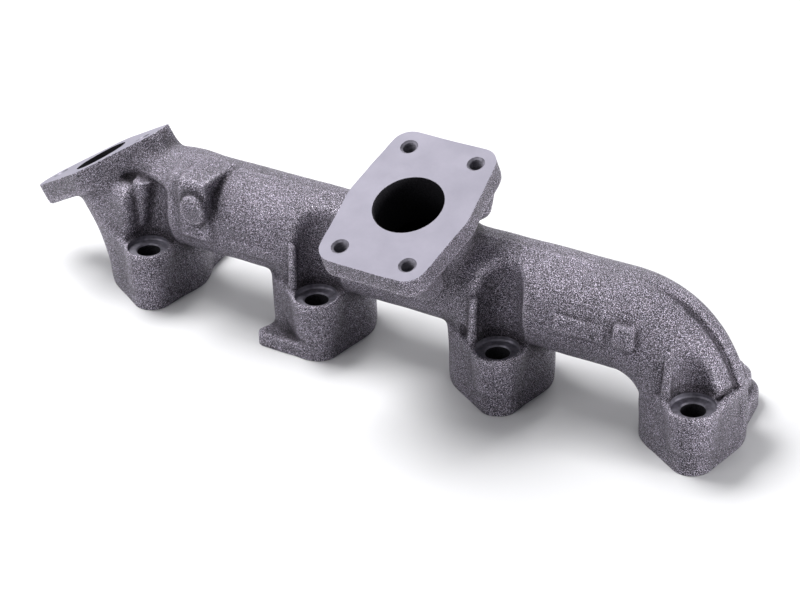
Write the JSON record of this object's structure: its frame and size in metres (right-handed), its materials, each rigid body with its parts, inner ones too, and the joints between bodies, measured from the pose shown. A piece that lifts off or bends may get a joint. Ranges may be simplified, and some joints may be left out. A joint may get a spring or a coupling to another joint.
{
  "type": "exhaust manifold",
  "caption": "Cast iron log exhaust manifold with bolted port feet, a tilted turbocharger flange, a recirculation flange on the left neck and a curved end elbow.",
  "frame": {"origin": "bottom centre of the part's bounding box, on the plane of the four port faces", "axes": "+X along the log towards the end elbow, +Y away from the turbocharger side, +Z away from the port faces"},
  "size_m": [0.4146, 0.1124, 0.1144],
  "materials": {
    "cast_iron": "shot-blasted sand casting",
    "machined_iron": "milled face"
  },
  "bodies": {
    "root": {"turbo_flange": "machined_iron", "turbo_neck": "cast_iron", "egr_flange": "machined_iron", "egr_neck": "cast_iron", "port_1_flange": "cast_iron", "port_1_riser": "cast_iron", "port_1_stud_boss": "cast_iron", "port_1_far_boss": "cast_iron", "port_2_flange": "cast_iron", "port_2_riser": "cast_iron", "port_2_stud_boss": "cast_iron", "port_2_far_boss": "cast_iron", "port_3_flange": "cast_iron", "port_3_riser": "cast_iron", "port_3_stud_boss": "cast_iron", "port_3_far_boss": "cast_iron", "port_4_flange": "cast_iron", "port_4_riser": "cast_iron", "port_4_stud_boss": "cast_iron", "port_4_far_boss": "cast_iron", "foot_2_tab": "cast_iron", "probe_boss": "cast_iron", "log_left_end": "cast_iron", "log_section_1": "cast_iron", "log_turbo_tee": "cast_iron", "log_section_2": "cast_iron", "id_pad_blank": "cast_iron", "end_elbow": "cast_iron", "elbow_rib": "cast_iron"}
  },
  "joints": []
}
